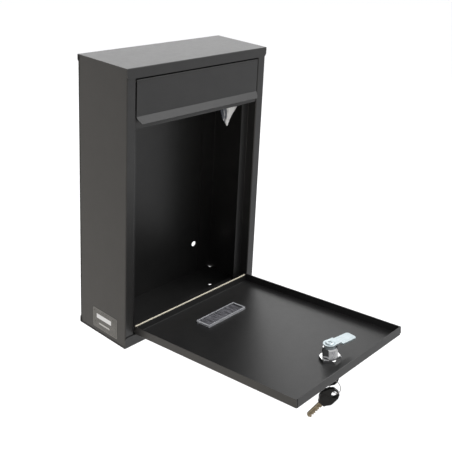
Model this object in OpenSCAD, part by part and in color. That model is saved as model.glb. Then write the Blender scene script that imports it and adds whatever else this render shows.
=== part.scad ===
// Wall-mounted drop box in powder-coated sheet steel: lift-up mail flap at the
// top, bottom-hinged service door with a cam lock, keys on a small ring.
// x runs across the box, y from front to back, z up. The origin is the centre
// of the wall-hole pattern, on the outer face of the back panel.

/* [Box] */
// Overall width across the caps
box_w = 254; // [240:1:280]
// Overall depth from cap flange to cap flange
box_d = 101.6; // [95:0.2:120]
// Overall height
box_h = 393.7; // [380:0.1:420]
// Thickness of the sheet steel
sheet = 1.2; // [1:0.1:1.5]
// How far the caps stand past each side
cap_over = 0.6; // [0.3:0.1:1]

/* [Caps] */
// Height of the front flange of the top cap
cap_front = 13.8; // [12:0.1:14]
// Height of the back flange of both caps
cap_back = 12; // [10:0.5:16]
// Height of the sill in front of the floor
sill_h = 16.3; // [16.3:0.1:16.3]
// Depth of the sill ledge behind the front flange
ledge_d = 26; // [22:0.5:30]

/* [Door frame] */
// Width of the front flange on each side
jamb_w = 14.7; // [13:0.1:16]
// Depth of the recess that the door closes into
recess_d = 16.5; // [15:0.1:18]
// Width of the stop lip on each side
lip_w = 13.7; // [10:0.1:16]
// Lower edge of the crossbar under the mail flap
bar_z = 312.2; // [312.2:0.1:316]
// Upper edge of the front web of the crossbar
bar_top = 336; // [332:1:344]

/* [Wall and floor holes] */
// Diameter of the fixing holes
hole_dia = 8.7; // [5:0.1:9]
// Diameter of the drain holes in the floor
drain_dia = 5; // [4:0.1:8]
// Wall holes, spacing across
wall_dx = 177.8; // [150:0.1:180]
// Wall holes, spacing in height
wall_dz = 288.7; // [250:0.1:300]
// Floor holes, spacing across
floor_dx = 162.6; // [120:0.1:180]

/* [Mail flap] */
// Half width of the flap
flap_hw = 110.8; // [109:0.1:111.5]
// Diameter of the rod it swings on
rod_dia = 3; // [2.5:0.1:3.2]
// Height of the rod above the bottom of the box
rod_z = 374.8; // [374:0.1:376]
// Height at which the lip bends outward
lip_z = 329; // [328:0.1:331]
// Length of the lip
lip_len = 11; // [9:0.1:12]
// Angle of the lip from vertical
lip_angle = 38; // [30:1:45]

/* [Door] */
// Angle between the closed door and the door as drawn
door_open = 83.8; // [0:0.1:83.8]
// Half width of the door
door_hw = 111.2; // [109:0.1:111.5]
// Upper edge of the door when closed
door_top = 311.4; // [300:0.1:311.4]
// Depth of the side and top flanges of the door
door_flange = 12.2; // [10:0.1:13]
// Depth of the flange at the hinge
hinge_flange = 10; // [8:0.1:10]
// Number of knuckles in the continuous hinge
knuckles = 17; // [11:2:21]
// Half length of the continuous hinge
hinge_hl = 109; // [100:0.5:109.5]

/* [Lock and keys] */
// Height of the lock axis when the door is closed
lock_z = 274.5; // [272:0.1:276]
// Length of the barrel behind the door skin
barrel_len = 17.5; // [16:0.1:18]
// Length of the cam from the lock axis
cam_len = 39.5; // [37:0.1:40]
// Angle of the cam as drawn, from sideways towards the door's free edge
cam_rest = 10; // [0:1:90]
// Tilt of the hanging spare key from vertical
spare_tilt = 42; // [0:1:45]
// Mean radius of the key ring
ring_r = 9; // [7.5:0.1:10]

/* [Card holder and label] */
// Width of the card holder
card_w = 74; // [60:1:90]
// Height of the card holder
card_h = 26; // [20:1:32]
// Lower edge of the card holder when the door is closed
card_z = 64.2; // [40:0.1:120]
// Depth of the side label
label_d = 53; // [40:1:60]
// Height of the side label
label_h = 30; // [20:1:40]

/* [Hidden] */
$fn = 48;

coat = [0.16, 0.16, 0.16];
zinc = [0.78, 0.79, 0.80];
brass = [0.62, 0.55, 0.38];

t = sheet;
hw = box_w / 2;               // half width of the caps
sw = hw - cap_over;           // half width of the sides
back_in = box_d - 2 * t;      // inner face of the back panel
jx = hw - jamb_w;             // door opening, half width
open_x = jx - lip_w;          // clear opening between the lips
bend = 1.6;                   // outer bend radius of the sides

// hinge pin of the door
pin_y = 2.45;
pin_z = 18.2;
off = 1.9;                    // distance of each leaf's backing from the pin
skin_y = 0.6;                 // outer face of the closed door
door_bot = pin_z + off;

// rod of the mail flap
rod_y = t + 3.6;
eye_r = 3.6;

// lock
barrel_r = 10.2;
plug_r = 6;
nut_af = 26;
head_y = skin_y - 2.5;        // front face of the lock head
in_y = skin_y + t;            // inner face of the door skin
barrel_end = in_y + barrel_len;
cam_y = barrel_end + 3;       // cam boss, face towards the door
cam_t = 2;
crank = 2.7;

// keys
key_hole_y = skin_y - 30;     // hole of the key that is in the lock
key_turn = 60;                // that key about the lock's axis
key_end = 21.5;               // hole to the blade side of the head
spare_turn = 50;              // spare key about the vertical
key_off = 3;                  // hole to the key's own axis
wire_r = 0.6;
hang = 1.4;                   // spare key's hole centre below the ring's wire
ring_turn = 85;               // ring about the vertical
ring_roll = 30;               // ring in its own plane

// ---- placement ----
module place() translate([0, -(box_d - t), -box_h / 2]) children();

// the closed door swung open about the hinge pin
module swung() translate([0, pin_y, pin_z]) rotate([door_open, 0, 0])
    translate([0, -pin_y, -pin_z]) children();
function sw_y(y, z) = pin_y + (y - pin_y) * cos(door_open) - (z - pin_z) * sin(door_open);
function sw_z(y, z) = pin_z + (y - pin_y) * sin(door_open) + (z - pin_z) * cos(door_open);

hole_x = key_off * sin(key_turn);
hole_y = sw_y(key_hole_y, lock_z + key_off * cos(key_turn));
hole_z = sw_z(key_hole_y, lock_z + key_off * cos(key_turn));
ring_cx = hole_x + ring_r * sin(ring_roll) * cos(ring_turn);
ring_cy = hole_y - ring_r * sin(ring_roll) * sin(ring_turn);
ring_cz = hole_z - ring_r * cos(ring_roll);
spare_z = ring_cz - ring_r - hang;

// ---- helpers ----
// quarter of a ring: centre, inner and outer radius, signs of the quadrant
module quarter(c, ri, ro, sx, sy) {
    translate(c) difference() {
        intersection() {
            circle(r = ro);
            translate([sx > 0 ? 0 : -ro - 1, sy > 0 ? 0 : -ro - 1])
                square(ro + 1);
        }
        if (ri > 0) circle(r = ri);
    }
}
module box2(x0, x1, y0, y1) translate([x0, y0]) square([x1 - x0, y1 - y0]);
module box3(x0, x1, y0, y1, z0, z1)
    translate([x0, y0, z0]) cube([x1 - x0, y1 - y0, z1 - z0]);
// a profile drawn as [y, z], extruded from x0 to x1
module along_x(x0, x1) translate([x0, 0, 0]) rotate([90, 0, 90])
    linear_extrude(height = x1 - x0) children();
// a profile drawn as [x, z], extruded from y0 to y1
module along_y(y0, y1) translate([0, y1, 0]) rotate([90, 0, 0])
    linear_extrude(height = y1 - y0) children();

// ---- cabinet ----
// plan of the right-hand side: back flange, side, front flange, return, lip
module side_plan(lip = true) {
    ri = bend - t;
    box2(open_x - 0.6, sw - bend, back_in - t, back_in);
    quarter([sw - bend, back_in - bend], ri, bend, 1, 1);
    box2(sw - t, sw, t + bend, back_in - bend);
    quarter([sw - bend, t + bend], ri, bend, 1, -1);
    box2(jx + bend, sw - bend, t, 2 * t);
    quarter([jx + bend, t + bend], ri, bend, -1, -1);
    if (lip) {
        box2(jx, jx + t, t + bend, recess_d + t - bend);
        quarter([jx + t - bend, recess_d + t - bend], ri, bend, 1, 1);
        box2(open_x, jx + t - bend, recess_d, recess_d + t);
    } else
        box2(jx, jx + t, t + bend, recess_d + t);
}
module side_sheet() {
    difference() {
        union() {
            // below the ledge the lip is cut away
            translate([0, 0, t]) linear_extrude(height = sill_h + 0.1 - t) side_plan(false);
            translate([0, 0, sill_h + 0.1])
                linear_extrude(height = box_h - t - sill_h - 0.1) side_plan();
        }
        // bearing hole for the flap rod in the return
        translate([jx - 1, rod_y, rod_z]) rotate([0, 90, 0])
            cylinder(h = t + 2, r = rod_dia / 2 + 0.05);
    }
}
module side_right() color(coat) place() side_sheet();
module side_left() color(coat) place() mirror([1, 0, 0]) side_sheet();

module back_panel() color(coat) place() difference() {
    box3(-sw, sw, back_in, back_in + t, t, box_h - t);
    for (sx = [-1, 1]) for (sz = [-1, 1])
        translate([sx * wall_dx / 2, back_in + t + 1, box_h / 2 + sz * wall_dz / 2])
            rotate([90, 0, 0]) cylinder(h = t + 2, d = hole_dia);
}

module top_cap() color(coat) place() difference() {
    along_x(-hw, hw) {
        box2(0, t, box_h - cap_front, box_h - t);
        quarter([t, box_h - t], 0, t, -1, 1);
        box2(t, box_d - t, box_h - t, box_h);
        quarter([box_d - t, box_h - t], 0, t, 1, 1);
        box2(box_d - t, box_d, box_h - cap_back, box_h - t);
    }
    // rounded lower corners of both flanges
    for (s = [-1, 1]) {
        along_y(-1, t + 0.01) corner_cut(s * hw, box_h - cap_front, -s, 1, 5.5);
        along_y(box_d - t - 0.01, box_d + 1) corner_cut(s * hw, box_h - cap_back, -s, 1, 5.5);
    }
}
// what is cut off to round an outside corner at (x, z), growing to (sx, sz)
module corner_cut(x, z, sx, sz, r) difference() {
    translate([x - (sx > 0 ? 1 : r), z - (sz > 0 ? 1 : r)]) square(r + 1);
    translate([x + sx * r, z + sz * r]) circle(r = r);
}

module bottom_cap() color(coat) place() difference() {
    union() {
        // floor and back flange
        along_x(-hw, hw) {
            quarter([t, t], 0, t, -1, -1);
            box2(t, box_d - t, 0, t);
            quarter([box_d - t, t], 0, t, 1, -1);
            box2(box_d - t, box_d, t, cap_back);
        }
        // front flange beside the opening
        for (s = [-1, 1]) box3(s > 0 ? jx - 0.3 : -hw, s > 0 ? hw : -jx + 0.3, 0, t, t, sill_h);
        // front flange, sill ledge and its hem in the opening
        along_x(-jx + 0.3, jx - 0.3) {
            box2(0, t, t, sill_h - t);
            quarter([t, sill_h - t], 0, t, -1, 1);
            box2(t, ledge_d - t, sill_h - t, sill_h);
            quarter([ledge_d - t, sill_h - t], 0, t, 1, 1);
            box2(ledge_d - t, ledge_d, 6, sill_h - t);
        }
    }
    for (s = [-1, 1]) {
        along_y(-1, t + 0.01) corner_cut(s * hw, sill_h, -s, -1, 4);
        along_y(box_d - t - 0.01, box_d + 1) corner_cut(s * hw, cap_back, -s, -1, 5.5);
        // drain hole and bend relief
        translate([s * floor_dx / 2, box_d / 2, -1]) cylinder(h = t + 2, d = drain_dia);
        box3(s > 0 ? sw - t - 2.4 : -sw + t + 0.1, s > 0 ? sw - t - 0.1 : -sw + t + 2.4,
            back_in - 7, back_in - 0.3, -1, t + 1);
    }
}

// front web, web below it and stop lip behind the door's upper edge
module crossbar() color(coat) place() {
    xe = jx - 0.2;
    y0 = 2 * t + 0.3;
    difference() {
        along_x(-xe, xe) {
            box2(y0, y0 + t, bar_z + t, bar_top);
            quarter([y0 + t, bar_z + t], 0, t, -1, -1);
            box2(y0 + t, recess_d + t, bar_z, bar_z + t);
            box2(recess_d, recess_d + t, bar_z - 6, bar_z + 0.01);
        }
        // clear of the side lips
        for (s = [-1, 1]) box3(s > 0 ? open_x - 0.2 : -jx - 1, s > 0 ? jx + 1 : -open_x + 0.2,
            recess_d - 0.2, recess_d + t + 1, bar_z - 10, bar_z + 10);
    }
}

module flap_rod() color(zinc) place() translate([-jx - 5.5, rod_y, rod_z])
    rotate([0, 90, 0]) cylinder(h = 2 * jx + 11, r = rod_dia / 2);

// push-on caps that hold the rod, behind the front flanges
module rod_clips() color(zinc) place() for (s = [-1, 1])
    translate([s * (jx + t + 0.15), rod_y + 0, rod_z]) rotate([0, s * 90, 0])
        rotate_extrude() {
            translate([rod_dia / 2, 0]) square([2.25 - rod_dia / 2, 1.6]);
            translate([rod_dia / 2, 0]) square([2.25 - rod_dia / 2, 0.6]);
        }

// ---- continuous hinge: i counts the knuckles from the left ----
pitch = 2 * hinge_hl / knuckles;
module knuckle_row(first) for (i = [first:2:knuckles - 1])
    translate([-hinge_hl + i * pitch + 0.2, pin_y, pin_z]) rotate([0, 90, 0])
        cylinder(h = pitch - 0.4, r = 1.6);
module knuckle_bores() translate([-hinge_hl - 1, pin_y, pin_z]) rotate([0, 90, 0])
    cylinder(h = 2 * hinge_hl + 2, r = 0.85);
module knuckle_gaps(first, z0, z1) for (i = [first:2:knuckles - 1])
    box3(-hinge_hl + i * pitch - 0.45, -hinge_hl + (i + 1) * pitch + 0.45,
        0, pin_y + 2.1, z0 - 1, z1 + 1);

module hinge_leaf_frame() color(zinc) place() difference() {
    union() {
        difference() {
            box3(-hinge_hl, hinge_hl, pin_y + 0.35, 15.5, sill_h, sill_h + 0.8);
            knuckle_gaps(1, sill_h, sill_h + 0.8);
        }
        knuckle_row(0);
    }
    knuckle_bores();
}
module hinge_leaf_door() color(zinc) place() swung() difference() {
    union() {
        difference() {
            box3(-hinge_hl, hinge_hl, pin_y + 0.35, pin_y + 9.6, door_bot - 0.8, door_bot);
            knuckle_gaps(0, door_bot - 0.8, door_bot);
        }
        knuckle_row(1);
    }
    knuckle_bores();
}
module hinge_pin() color(zinc) place() translate([-hinge_hl + 0.2, pin_y, pin_z])
    rotate([0, 90, 0]) cylinder(h = 2 * hinge_hl - 0.4, r = 0.8);

// ---- mail flap ----
module mail_flap() color(coat) place() {
    s = sin(lip_angle); c = cos(lip_angle);
    difference() {
        along_x(-flap_hw, flap_hw) difference() {
            union() {
                polygon([[t, rod_z], [t, lip_z], [t - s * lip_len, lip_z - c * lip_len],
                    [t - s * lip_len + c * t, lip_z - c * lip_len - s * t],
                    [2 * t, lip_z - t * (1 - s) / c * 0.99], [2 * t, rod_z]]);
                translate([rod_y, rod_z]) circle(r = eye_r);
            }
            translate([rod_y, rod_z]) circle(r = rod_dia / 2 + 0.1);
        }
        // trimmed corners of the lip
        for (k = [-1, 1]) along_y(-12, 4) polygon([[k * (flap_hw + 1), lip_z - 2],
            [k * flap_hw, lip_z - 2], [k * (flap_hw - 1.2), lip_z - 5],
            [k * (flap_hw - 5.5), lip_z - c * lip_len - 2], [k * (flap_hw + 1), lip_z - c * lip_len - 2]]);
    }
}

// ---- door ----
module door_plan() {
    ri = bend - t;
    for (s = [0, 1]) mirror([s, 0]) {
        box2(-0.01, door_hw - bend, skin_y, skin_y + t);
        quarter([door_hw - bend, skin_y + bend], ri, bend, 1, -1);
        box2(door_hw - t, door_hw, skin_y + bend, skin_y + door_flange);
    }
}
module door_pan() color(coat) place() swung() difference() {
    union() {
        translate([0, 0, door_bot + bend])
            linear_extrude(height = door_top - door_bot - 2 * bend) door_plan();
        // side flanges run on to both ends
        for (s = [-1, 1]) box3(s > 0 ? door_hw - t : -door_hw, s > 0 ? door_hw : -door_hw + t,
            skin_y + bend + 1.2, skin_y + door_flange, door_bot + 0.2, door_top - 0.2);
        // free end and hinge end, bent up from the skin
        along_x(-door_hw + 2 * t - 0.3, door_hw - 2 * t + 0.3) {
            box2(skin_y, skin_y + t, door_top - bend - 0.01, door_top - bend);
            quarter([skin_y + bend, door_top - bend], bend - t, bend, -1, 1);
            box2(skin_y + bend, skin_y + door_flange, door_top - t, door_top);
            quarter([skin_y + bend, door_bot + bend], bend - t, bend, -1, -1);
            box2(skin_y + bend, skin_y + hinge_flange, door_bot, door_bot + t);
        }
    }
    // hole for the lock
    translate([0, skin_y - 1, lock_z]) rotate([-90, 0, 0]) cylinder(h = t + 2, r = barrel_r + 0.1);
}

// clear card holder on the inside of the door
module rounded(w, h, r) {
    box2(-w / 2 + r, w / 2 - r, -h / 2, h / 2);
    box2(-w / 2, w / 2, -h / 2 + r, h / 2 - r);
    for (sx = [-1, 1]) for (sy = [-1, 1])
        translate([sx * (w / 2 - r), sy * (h / 2 - r)]) circle(r = r);
}
module card_holder() color([0.75, 0.77, 0.8, 0.5]) place() swung()
    translate([0, 0, card_z + card_h / 2]) difference() {
        union() {
            along_y(in_y, in_y + 3) rounded(card_w, card_h, 2);
        }
        along_y(in_y + 0.8, in_y + 4) difference() {
            rounded(card_w - 5, card_h - 5, 1.2);
            // finger of the snap catch
            box2(-0.8, 0.8, -card_h / 2, -card_h / 2 + 4.5);
        }
    }

// ---- lock ----
module at_lock() place() swung() translate([0, 0, lock_z]) children();
// a body turned about the lock axis: profile as [radius, y]
module turned() rotate([-90, 0, 0]) rotate_extrude() children();
pitch_t = 1.1;
module lock_body() color(zinc) at_lock() difference() {
    union() {
        turned() {
            // head
            polygon([[plug_r + 0.1, head_y], [11.8, head_y], [12.6, head_y + 0.8],
                [12.6, skin_y], [plug_r + 0.1, skin_y]]);
            // threaded barrel
            polygon(concat([[plug_r + 0.1, skin_y - 0.1], [barrel_r - 0.45, skin_y - 0.1],
                [barrel_r - 0.45, in_y + 0.2]],
                [for (i = [0:13]) for (k = [0, 1])
                    [barrel_r - 0.45 * (1 - k), in_y + 0.6 + (i + k * 0.5) * pitch_t]],
                [[barrel_r - 0.45, barrel_end - 0.9], [barrel_r - 0.9, barrel_end],
                    [plug_r + 0.1, barrel_end]]));
        }
    }
    // flats
    for (s = [-1, 1]) box3(s > 0 ? 8.8 : -13, s > 0 ? 13 : -8.8, skin_y, barrel_end + 1, -13, 13);
}
module lock_nut() color(zinc) at_lock() difference() {
    intersection() {
        along_y(in_y, in_y + 4.2) circle(r = nut_af / sqrt(3), $fn = 6);
        turned() polygon([[0, in_y], [nut_af / 2 + 0.9, in_y], [nut_af / 2 + 1.9, in_y + 0.6],
            [nut_af / 2 + 1.9, in_y + 3.5], [nut_af / 2 + 0.6, in_y + 4.2], [0, in_y + 4.2]]);
    }
    translate([0, in_y - 1, 0]) rotate([-90, 0, 0]) cylinder(h = 8, r = barrel_r + 0.05);
}
module lock_plug() color(zinc) at_lock() difference() {
    union() {
        turned() polygon([[0, head_y + 0.25], [plug_r - 0.4, head_y + 0.25],
            [plug_r, head_y + 0.65], [plug_r, barrel_end + 0.3], [0, barrel_end + 0.3]]);
        // squared tail for washer and cam
        turn_rest() box3(-4, 4, barrel_end, cam_y + cam_t - 0.2, -4, 4);
    }
    // keyway
    rotate([0, key_turn, 0]) box3(-1.1, 1.1, head_y - 1, barrel_end - 0.8, -4.2, 4.2);
    // screw hole in the tail
    translate([0, barrel_end - 0.4, 0]) rotate([-90, 0, 0]) cylinder(h = 10, r = 2);
}
// turned by the rest angle of the cam, 0 is sideways
module turn_rest() rotate([0, -cam_rest, 0]) children();
module stop_washer() color(zinc) at_lock() turn_rest() difference() {
    along_y(barrel_end + 0.35, barrel_end + 1.55) union() {
        circle(r = 7.6);
        box2(0, 8.8, -2.2, 2.2);
    }
    box3(-4.05, 4.05, barrel_end, barrel_end + 3, -4.05, 4.05);
}
module lock_cam() color(zinc) at_lock() turn_rest() difference() {
    union() {
        // boss
        along_y(cam_y, cam_y + cam_t) intersection() {
            union() { circle(r = 9.2); box2(0, 11.5, -8.4, 8.4); }
            box2(-12, 11.5, -12, 12);
        }
        // crank, drawn as [x, y] and extruded across the arm
        translate([0, 0, -8.2]) linear_extrude(height = 16.4)
            polygon([[11.2, cam_y], [11.5, cam_y], [14.3, cam_y - crank], [15, cam_y - crank],
                [15, cam_y - crank + cam_t], [14.7, cam_y - crank + cam_t],
                [11.9, cam_y + cam_t], [11.2, cam_y + cam_t]]);
        // arm
        along_y(cam_y - crank, cam_y - crank + cam_t) intersection() {
            polygon([[14.8, -9.4], [cam_len, -9.4], [cam_len, 6],
                [cam_len - 2.8, 9.4], [14.8, 9.4]]);
            union() {
                box2(10, cam_len + 1, -5.4, 10);
                box2(10, cam_len - 4, -10, 10);
                translate([cam_len - 4, -5.4]) circle(r = 4);
            }
        }
    }
    box3(-4.05, 4.05, cam_y - 1, cam_y + 5, -4.05, 4.05);
}
module cam_screw() color(zinc) at_lock() difference() {
    turned() polygon([[0, barrel_end + 0.1], [1.95, barrel_end + 0.1], [1.95, cam_y + cam_t + 0.02],
        [6, cam_y + cam_t + 0.02], [6, cam_y + cam_t + 0.6], [5.2, cam_y + cam_t + 1.3],
        [0, cam_y + cam_t + 1.5]]);
    turn_rest() for (a = [0, 90]) rotate([0, a + 20, 0])
        box3(-3.2, 3.2, cam_y + cam_t + 0.7, cam_y + cam_t + 3, -0.6, 0.6);
}

// ---- keys: drawn lying in the y-z plane along the key's own axis, head
// end at y -6, blade to +y, hole beside the axis at z = key_off ----
module key_blade_2d(len) difference() {
    union() {
        box2(6, key_end + len - 3, -3.9, 3.9);
        polygon([[key_end + len - 3.01, -3.9], [key_end + len - 1, -2.6],
            [key_end + len, 0.4], [key_end + len - 1.2, 3.9], [key_end + len - 3.01, 3.9]]);
    }
    // bitting
    for (i = [0:4]) translate([key_end + 3.8 + 3.4 * i, 0])
        polygon([[0, 4.5], [1.1, 2.2 + 0.7 * (i % 2)], [2.1, 2.2 + 0.7 * (i % 2)], [3.2, 4.5]]);
}
module key_blade_solid(len) difference() {
    translate([-1, 0, 0]) rotate([90, 0, 90]) linear_extrude(height = 2) difference() {
        key_blade_2d(len);
        translate([0, key_off]) circle(r = 5.6);
    }
    // milled grooves along both faces
    box3(0.5, 2, key_end + 1.5, key_end + len + 1, -2.2, -0.6);
    box3(-2, -0.5, key_end + 1.5, key_end + len + 1, 0.2, 1.8);
}
module key_head_solid() difference() {
    union() {
        translate([-2.5, 0, 0]) rotate([90, 0, 90]) linear_extrude(height = 5) difference() {
            head_2d();
            translate([0, key_off]) circle(r = 5.2);
        }
        translate([-1.6, 0, 0]) rotate([90, 0, 90]) linear_extrude(height = 3.2) difference() {
            head_2d();
            translate([0, key_off]) circle(r = 4);
        }
        // raised grip panels
        for (s = [-1, 1]) translate([s > 0 ? 2.49 : -2.85, 0, 0]) rotate([90, 0, 90])
            linear_extrude(height = 0.36) translate([11.5, -1]) rounded(8, 14, 2.5);
    }
    // the blade's root
    translate([-1, 0, 0]) rotate([90, 0, 90]) linear_extrude(height = 2) difference() {
        box2(6, key_end + 1, -3.9, 3.9);
        translate([0, key_off]) circle(r = 5.6);
    }
}
module head_2d() polygon([[-6, -3], [-6, 5.5], [-3.6, 9.2], [1.5, 11.6],
    [12, 11.6], [14.5, 10.8], [19, 6.6], [key_end, 5.2], [key_end, -5.2], [19, -6.6],
    [14.5, -10.8], [12, -11.6], [5, -11.6], [-1.5, -8.4]]);

module at_key() at_lock() translate([0, key_hole_y, 0]) rotate([0, key_turn, 0]) children();
module key_blade() color(brass) at_key() key_blade_solid(24);
module key_head() color([0.06, 0.06, 0.06]) at_key() key_head_solid();
module key_ring() color(zinc) place() translate([ring_cx, ring_cy, ring_cz])
    rotate([0, 0, -ring_turn]) rotate([90, 0, 0]) rotate_extrude()
        translate([ring_r, 0]) circle(r = wire_r, $fn = 24);
module at_spare() place() translate([ring_cx, ring_cy, spare_z])
    rotate([0, 0, spare_turn]) rotate([-90 + spare_tilt, 0, 0]) rotate([0, 180, 0])
        translate([0, 0, -key_off]) children();
module spare_key_blade() color(brass) at_spare() key_blade_solid(24);
module spare_key_head() color([0.06, 0.06, 0.06]) at_spare() key_head_solid();

// blank label on the left side
module side_label() color([0.6, 0.6, 0.58]) place()
    translate([-sw - 0.2, 18.5 + label_d / 2, 7 + label_h / 2]) rotate([90, 0, 90])
        linear_extrude(height = 0.2) rounded(label_d, label_h, 2);

side_left();
side_right();
back_panel();
top_cap();
bottom_cap();
crossbar();
flap_rod();
rod_clips();
hinge_leaf_frame();
hinge_pin();
side_label();
mail_flap();
door_pan();
hinge_leaf_door();
card_holder();
lock_body();
lock_nut();
lock_plug();
stop_washer();
lock_cam();
cam_screw();
key_blade();
key_head();
key_ring();
spare_key_blade();
spare_key_head();
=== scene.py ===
import math
import bpy
from mathutils import Matrix, Vector


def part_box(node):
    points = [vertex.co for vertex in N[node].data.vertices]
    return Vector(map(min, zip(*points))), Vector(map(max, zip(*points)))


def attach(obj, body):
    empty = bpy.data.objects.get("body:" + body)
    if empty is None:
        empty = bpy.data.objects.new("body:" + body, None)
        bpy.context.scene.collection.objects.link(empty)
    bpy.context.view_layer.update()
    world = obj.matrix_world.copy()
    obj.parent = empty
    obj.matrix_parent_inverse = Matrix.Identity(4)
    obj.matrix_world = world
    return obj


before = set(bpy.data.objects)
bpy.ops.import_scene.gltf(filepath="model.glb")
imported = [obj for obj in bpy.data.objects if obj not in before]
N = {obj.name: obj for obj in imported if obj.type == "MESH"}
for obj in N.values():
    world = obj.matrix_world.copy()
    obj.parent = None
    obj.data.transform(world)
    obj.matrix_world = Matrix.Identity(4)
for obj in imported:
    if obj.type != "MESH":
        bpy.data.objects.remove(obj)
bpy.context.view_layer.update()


# ---------------------------------------------------------------- materials
def noise(nt, scale, detail=2.0, stretch=None):
    tc = nt.nodes.new("ShaderNodeTexCoord")
    n = nt.nodes.new("ShaderNodeTexNoise")
    n.inputs["Scale"].default_value = scale
    n.inputs["Detail"].default_value = detail
    if stretch:
        mp = nt.nodes.new("ShaderNodeMapping")
        mp.inputs["Scale"].default_value = stretch
        nt.links.new(tc.outputs["Object"], mp.inputs["Vector"])
        nt.links.new(mp.outputs["Vector"], n.inputs["Vector"])
    else:
        nt.links.new(tc.outputs["Object"], n.inputs["Vector"])
    return n.outputs["Fac"]


def ramp(nt, fac, stops):
    r = nt.nodes.new("ShaderNodeValToRGB")
    el = r.color_ramp.elements
    el[0].position, el[0].color = stops[0][0], (*stops[0][1], 1)
    el[1].position, el[1].color = stops[-1][0], (*stops[-1][1], 1)
    for pos, col in stops[1:-1]:
        e = el.new(pos)
        e.color = (*col, 1)
    nt.links.new(fac, r.inputs["Fac"])
    return r.outputs["Color"]


def span(nt, fac, a, b):
    m = nt.nodes.new("ShaderNodeMapRange")
    m.inputs["From Min"].default_value = 0.3
    m.inputs["From Max"].default_value = 0.7
    m.inputs["To Min"].default_value = a
    m.inputs["To Max"].default_value = b
    nt.links.new(fac, m.inputs["Value"])
    return m.outputs["Result"]


def surface(name, low, high, rough, metallic=0.0, tone=60.0, grain=900.0, bump=0.2,
            depth=0.00006, stretch=None, **sockets):
    """A material whose colour runs between low and high in soft patches, with its roughness and a fine bump varied by noise."""
    m = bpy.data.materials.new(name)
    m.use_nodes = True
    nt = m.node_tree
    p = nt.nodes["Principled BSDF"]
    p.inputs["Metallic"].default_value = metallic
    nt.links.new(ramp(nt, noise(nt, tone, 3.0, stretch), [(0.3, low), (0.7, high)]), p.inputs["Base Color"])
    nt.links.new(span(nt, noise(nt, tone * 3.1, 2.0, stretch), *rough), p.inputs["Roughness"])
    if bump:
        b = nt.nodes.new("ShaderNodeBump")
        b.inputs["Strength"].default_value = bump
        b.inputs["Distance"].default_value = depth
        nt.links.new(noise(nt, grain, 2.0, stretch), b.inputs["Height"])
        nt.links.new(b.outputs["Normal"], p.inputs["Normal"])
    for k, v in sockets.items():
        p.inputs[k.replace("_", " ")].default_value = v
    return m


coat = surface("powder_coat", (0.0118, 0.0118, 0.0119), (0.0148, 0.0147, 0.0146), (0.385, 0.410),
               tone=45, grain=1500, bump=0.35, depth=0.00009, Specular_IOR_Level=0.42)
zinc = surface("zinc_plate", (0.46, 0.53, 0.55), (0.56, 0.62, 0.64), (0.34, 0.44), 0.85,
               tone=150, grain=900, bump=0.15, stretch=(1.0, 2.5, 1.0))
steel = surface("rod_steel", (0.30, 0.30, 0.30), (0.37, 0.37, 0.37), (0.25, 0.35), 1.0, tone=200, grain=1500, bump=0.1)
# The hinge's cream colour is partly its bare metal and partly a painted highlight: near-white and non-metallic,
# standing in for the knuckles' reflection.
nickel_painted_highlight = surface("nickel_hinge_painted_highlight", (0.95, 0.87, 0.68), (1.0, 0.94, 0.78), (0.32, 0.42), 0.0,
                 tone=120, grain=1200, bump=0.1, stretch=(0.3, 1.0, 1.0))
chrome = surface("nickel_lock", (0.52, 0.52, 0.53), (0.66, 0.66, 0.66), (0.08, 0.13), 1.0,
                 tone=200, grain=1400, bump=0.08)
plug = surface("plug_face", (0.48, 0.48, 0.47), (0.58, 0.57, 0.55), (0.22, 0.32), 1.0, tone=250, grain=1600, bump=0.1)
blade = surface("key_blade", (0.144, 0.119, 0.083), (0.245, 0.209, 0.151), (0.26, 0.38), 1.0,
                tone=220, grain=1800, bump=0.2, stretch=(1.0, 0.25, 1.0))
grip = surface("key_grip", (0.004, 0.004, 0.004), (0.007, 0.007, 0.007), (0.32, 0.42), tone=120, grain=1600, bump=0.15,
               Specular_IOR_Level=0.16)
def masked(m, painted_shade_inside, outside, node, margin):
    """Gives m one colour ramp in the middle of a CAD node and another near its edges along x and its longer second
    axis; the middle ramp is painted shade.
    """
    nt = m.node_tree
    p = nt.nodes["Principled BSDF"]
    lo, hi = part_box(node)
    tc = nt.nodes.new("ShaderNodeTexCoord")
    sep = nt.nodes.new("ShaderNodeSeparateXYZ")
    nt.links.new(tc.outputs["Object"], sep.inputs[0])
    fac = None
    for axis, l, h in (("X", lo.x + margin, hi.x - margin), ("Y", lo.y + margin, hi.y - margin)):
        for op, v in (("GREATER_THAN", l), ("LESS_THAN", h)):
            n = nt.nodes.new("ShaderNodeMath")
            n.operation = op
            nt.links.new(sep.outputs[axis], n.inputs[0])
            n.inputs[1].default_value = v
            if fac is None:
                fac = n.outputs[0]
            else:
                q = nt.nodes.new("ShaderNodeMath")
                q.operation = "MULTIPLY"
                nt.links.new(fac, q.inputs[0])
                nt.links.new(n.outputs[0], q.inputs[1])
                fac = q.outputs[0]
    f = noise(nt, 120, 2.0, (2.5, 0.6, 1.0))
    mix = nt.nodes.new("ShaderNodeMix")
    mix.data_type = "RGBA"
    nt.links.new(fac, mix.inputs["Factor"])
    nt.links.new(ramp(nt, f, [(0.3, outside[0]), (0.7, outside[1])]), mix.inputs[6])
    nt.links.new(ramp(nt, f, [(0.35, painted_shade_inside[0]), (0.65, painted_shade_inside[1])]), mix.inputs[7])
    nt.links.new(mix.outputs[2], p.inputs["Base Color"])
    return m


# The card holder's grey middle is painted shade: the shaded floor under the door as seen through the clear window.
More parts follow.
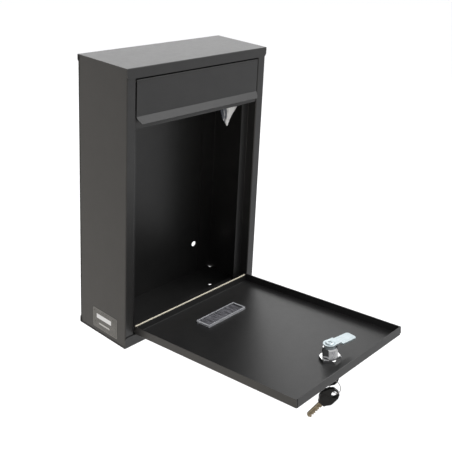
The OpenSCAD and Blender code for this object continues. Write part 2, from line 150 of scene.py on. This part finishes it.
clear = masked(surface("clear_plastic", (0.80, 0.82, 0.86), (0.88, 0.90, 0.93), (0.08, 0.16), tone=60, grain=500,
                       bump=0.1, depth=0.00004, Transmission_Weight=0.6, IOR=1.49),
               ((0.16, 0.16, 0.175), (0.34, 0.34, 0.37)), ((0.62, 0.63, 0.66), (0.86, 0.87, 0.90)), "card_holder", 0.0024)
film = surface("bag_film", (0.86, 0.88, 0.92), (0.96, 0.97, 0.98), (0.14, 0.26), tone=70, grain=260,
               bump=0.7, depth=0.0006, stretch=(1.0, 1.0, 0.3), Transmission_Weight=0.35, IOR=1.4)


def bag_painted_shade_and_tint():
    """The bag's left side is a see-through single film whose colour is painted near-black, painted shade of the dark
    box inside behind it; to the right it is folded double and reads white.
    """
    nt = film.node_tree
    p = nt.nodes["Principled BSDF"]
    tc = nt.nodes.new("ShaderNodeTexCoord")
    sep = nt.nodes.new("ShaderNodeSeparateXYZ")
    nt.links.new(tc.outputs["Object"], sep.inputs[0])
    m = nt.nodes.new("ShaderNodeMapRange")
    m.inputs["From Min"].default_value = 0.060
    m.inputs["From Max"].default_value = 0.076
    nt.links.new(sep.outputs["X"], m.inputs["Value"])
    add = nt.nodes.new("ShaderNodeMath")
    add.operation = "ADD"
    nt.links.new(m.outputs["Result"], add.inputs[0])
    nt.links.new(span(nt, noise(nt, 260, 2.0, (1.0, 1.0, 0.25)), -0.45, 0.30), add.inputs[1])
    # The near-black stops are painted shade: the box's dark inside seen through the film.
    nt.links.new(ramp(nt, add.outputs[0], [(0.12, (0.012, 0.018, 0.030)), (0.38, (0.10, 0.11, 0.13)), (0.62, (0.62, 0.60, 0.58)), (0.85, (0.92, 0.92, 0.91))]),
                 p.inputs["Base Color"])


bag_painted_shade_and_tint()


def label_material():
    """A blank film label: a grey see-through field with a paler rim, one plain white bar and one thin line."""
    m = surface("label_film", (0.050, 0.050, 0.048), (0.085, 0.084, 0.080), (0.26, 0.36), tone=160, grain=900, bump=0.1)
    nt = m.node_tree
    p = nt.nodes["Principled BSDF"]
    lo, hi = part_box("side_label")
    tc = nt.nodes.new("ShaderNodeTexCoord")
    sep = nt.nodes.new("ShaderNodeSeparateXYZ")
    nt.links.new(tc.outputs["Object"], sep.inputs[0])

    def math_node(op, a, b):
        n = nt.nodes.new("ShaderNodeMath")
        n.operation = op
        for i, v in enumerate((a, b)):
            if isinstance(v, (int, float)):
                n.inputs[i].default_value = v
            else:
                nt.links.new(v, n.inputs[i])
        return n.outputs[0]

    def block(y0, y1, z0, z1):
        y, z = sep.outputs["Y"], sep.outputs["Z"]
        a = math_node("MULTIPLY", math_node("GREATER_THAN", y, y0), math_node("LESS_THAN", y, y1))
        b = math_node("MULTIPLY", math_node("GREATER_THAN", z, z0), math_node("LESS_THAN", z, z1))
        return math_node("MULTIPLY", a, b)

    field = block(lo.y + 0.0008, hi.y - 0.0008, lo.z + 0.0008, hi.z - 0.0008)
    bar = block(lo.y + 0.0130, hi.y - 0.0080, lo.z + 0.0155, hi.z - 0.0078)
    line = block(lo.y + 0.0165, hi.y - 0.0135, lo.z + 0.0070, hi.z - 0.0206)
    rim = math_node("SUBTRACT", 1.0, field)
    base = p.inputs["Base Color"].links[0].from_socket
    last = base
    for fac, col in ((rim, (0.115, 0.113, 0.108)), (bar, (0.62, 0.63, 0.65)), (line, (0.40, 0.40, 0.40))):
        mix = nt.nodes.new("ShaderNodeMix")
        mix.data_type = "RGBA"
        nt.links.new(fac, mix.inputs["Factor"])
        nt.links.new(last, mix.inputs[6])
        mix.inputs[7].default_value = (*col, 1)
        last = mix.outputs[2]
    nt.links.new(last, p.inputs["Base Color"])
    return m


label = label_material()

LOOK = {
    "side_left": coat, "side_right": coat, "back_panel": coat, "top_cap": coat, "bottom_cap": coat,
    "crossbar": coat, "mail_flap": coat, "door_pan": coat, "flap_rod": steel, "rod_clips": steel,
    "hinge_leaf_frame": coat, "hinge_leaf_door": nickel_painted_highlight, "hinge_pin": nickel_painted_highlight, "side_label": label,
    "card_holder": clear, "lock_body": chrome, "lock_nut": chrome, "lock_plug": plug,
    "stop_washer": zinc, "lock_cam": zinc, "cam_screw": zinc, "key_blade": blade,
    "spare_key_blade": blade, "key_head": grip, "spare_key_head": grip, "key_ring": steel,
}
for name, mat in LOOK.items():
    o = N[name]
    if not o.data.materials:
        o.data.materials.append(mat)
    for i in range(len(o.data.materials)):
        o.data.materials[i] = mat


# ---------------------------------------------------------------- clear bag behind the crossbar
def fit(x, y, z):
    """Millimetres from the middle of the box's front bottom edge, to the row frame in metres."""
    return Vector((x / 1000, (y - 100.4) / 1000, (z - 196.85) / 1000))


def along(path, s):
    """Point and direction at distance s along a polyline of (y, z)."""
    for (a, b) in zip(path, path[1:]):
        d = math.dist(a, b)
        if s <= d or b is path[-1]:
            t = min(max(s / d, 0.0), 1.0)
            dy, dz = (b[0] - a[0]) / d, (b[1] - a[1]) / d
            return a[0] + (b[0] - a[0]) * t, a[1] + (b[1] - a[1]) * t, dy, dz
        s -= d


def make_bag():
    path = [(5.4, 331.0), (5.6, 320.0), (6.4, 316.4), (9.0, 315.4), (15.0, 315.4), (18.0, 315.0),
            (20.0, 313.2), (20.8, 310.0), (21.0, 300.0), (21.6, 288.0), (22.6, 276.5)]
    total = sum(math.dist(a, b) for a, b in zip(path, path[1:]))
    rows, cols = 46, 22
    verts, faces = [], []
    for side in (1, -1):
        for i in range(rows + 1):
            s = total * i / rows
            y, z, dy, dz = along(path, s)
            left = total - s                          # distance to the tip
            half = min(0.62 * left + 0.45, 24.0)
            for j in range(cols + 1):
                v = 2 * j / cols - 1
                x = 73.5 + v * half + 1.2 * math.sin(s * 0.21)
                bulge = (1 - v * v) * min(1.0, half / 12) * 0.75
                ripple = 0.30 * math.sin(1.1 * x + 0.33 * s) * math.sin(0.29 * s + 0.21 * x) * (1 - v * v)
                off = side * (0.12 + bulge) + ripple
                verts.append(fit(x, y + off * abs(dz) + (0 if abs(dz) > 0.3 else 0), z + off * abs(dy) * 0.6))
    w = cols + 1
    per = (rows + 1) * w
    for i in range(rows):
        for j in range(cols):
            a = i * w + j
            faces.append((a, a + 1, a + w + 1, a + w))
            b = per + a
            faces.append((b, b + w, b + w + 1, b + 1))
    for i in range(rows):
        for j, flip in ((0, True), (cols, False)):
            a, b = i * w + j, per + i * w + j
            q = (a, a + w, b + w, b)
            faces.append(q if flip else q[::-1])
    for j in range(cols):
        for i, flip in ((0, False), (rows, True)):
            a, b = i * w + j, per + i * w + j
            q = (a, a + 1, b + 1, b)
            faces.append(q if not flip else q[::-1])
    me = bpy.data.meshes.new("clear_bag")
    me.from_pydata(verts, [], faces)
    me.update()
    for f in me.polygons:
        f.use_smooth = True
    o = bpy.data.objects.new("clear_bag", me)
    bpy.context.scene.collection.objects.link(o)
    o.data.materials.append(film)
    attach(o, "box")
    return o


make_bag()

# ---------------------------------------------------------------- floor, world, lights
def plain_floor():
    me = bpy.data.meshes.new("floor")
    s, z = 14.0, -0.72
    me.from_pydata([(-s, -s, z), (s, -s, z), (s, s, z), (-s, s, z)], [], [(0, 1, 2, 3)])
    o = bpy.data.objects.new("floor", me)
    bpy.context.scene.collection.objects.link(o)
    paper = surface("floor_paper", (0.86, 0.86, 0.855), (0.88, 0.88, 0.875), (0.8, 0.9), tone=3, grain=40, bump=0.02)
    nt = paper.node_tree
    p = nt.nodes["Principled BSDF"]
    tc = nt.nodes.new("ShaderNodeTexCoord")
    sep = nt.nodes.new("ShaderNodeSeparateXYZ")
    nt.links.new(tc.outputs["Object"], sep.inputs[0])
    # The floor is painted warmer and a little paler towards -x: a painted pool of warm light that bounces onto the
    # box's left side.
    m = nt.nodes.new("ShaderNodeMapRange")
    m.inputs["From Min"].default_value = -0.5
    m.inputs["From Max"].default_value = 0.3
    nt.links.new(sep.outputs["X"], m.inputs["Value"])
    add = nt.nodes.new("ShaderNodeMath")
    add.operation = "ADD"
    nt.links.new(m.outputs["Result"], add.inputs[0])
    nt.links.new(span(nt, noise(nt, 3.0, 2.0), -0.03, 0.03), add.inputs[1])
    nt.links.new(ramp(nt, add.outputs[0], [(0.0, (0.92, 0.875, 0.81)), (1.0, (0.86, 0.862, 0.868))]), p.inputs["Base Color"])
    o.data.materials.append(paper)


plain_floor()

world = bpy.data.worlds.new("studio")
bpy.context.scene.world = world
world.use_nodes = True
wt = world.node_tree
bg = wt.nodes["Background"]
wc = wt.nodes.new("ShaderNodeTexCoord")
wm = wt.nodes.new("ShaderNodeMapping")
wm.vector_type = "POINT"
wg = wt.nodes.new("ShaderNodeSeparateXYZ")
wt.links.new(wc.outputs["Generated"], wg.inputs[0])
wt.links.new(ramp(wt, span(wt, wg.outputs["Z"], 0.0, 1.0), [(0.0, (0.80, 0.80, 0.80)), (0.45, (0.70, 0.70, 0.705)), (1.0, (0.50, 0.50, 0.51))]),
             bg.inputs["Color"])
bg.inputs["Strength"].default_value = 1.0


def area(name, at, to, size, power, color=(1, 1, 1)):
    d = bpy.data.lights.new(name, "AREA")
    d.shape = "RECTANGLE"
    d.size, d.size_y = size
    d.energy = power
    d.color = color
    o = bpy.data.objects.new(name, d)
    bpy.context.scene.collection.objects.link(o)
    o.location = at
    o.rotation_euler = (Vector(to) - Vector(at)).to_track_quat("-Z", "Y").to_euler()
    return o


area("behind", (1.6, 2.3, 1.25), (0.0, 0.0, 0.1), (2.6, 1.0), 19)
area("front_right", (1.7, -1.3, 1.9), (0.0, -0.1, 0.1), (1.0, 0.8), 14)
area("low_left", (-1.5, -0.25, -0.45), (-0.12, -0.05, -0.12), (0.7, 0.5), 2.2, (1.0, 0.94, 0.86))
sun = bpy.data.lights.new("sun", "SUN")
sun.energy = 1.95
sun.angle = math.radians(50)
sun_o = bpy.data.objects.new("sun", sun)
bpy.context.scene.collection.objects.link(sun_o)
sun_o.rotation_euler = (math.radians(14), math.radians(12), 0)

# ---------------------------------------------------------------- camera
def camera():
    az, el, roll = math.radians(-52.865), math.radians(16.574), math.radians(4.626)
    back = Vector((math.sin(az) * math.cos(el), -math.cos(az) * math.cos(el), math.sin(el)))
    r0 = Vector((0, 0, 1)).cross(back).normalized()
    u0 = back.cross(r0)
    right = math.cos(roll) * r0 + math.sin(roll) * u0
    up = -math.sin(roll) * r0 + math.cos(roll) * u0
    c = bpy.data.cameras.new("camera")
    c.sensor_width = 36
    c.lens = 62.335
    c.shift_x = (226 - 319.02) / 452
    c.shift_y = (120.54 - 226) / 452
    o = bpy.data.objects.new("camera", c)
    bpy.context.scene.collection.objects.link(o)
    m = Matrix((right, up, back)).transposed().to_4x4()
    m.translation = fit(-724.7, -752.3, 625.0)
    o.matrix_world = m
    bpy.context.scene.camera = o


camera()
bpy.context.scene.view_settings.view_transform = "Standard"
bpy.context.scene.view_settings.look = "None"

bpy.context.view_layer.update()
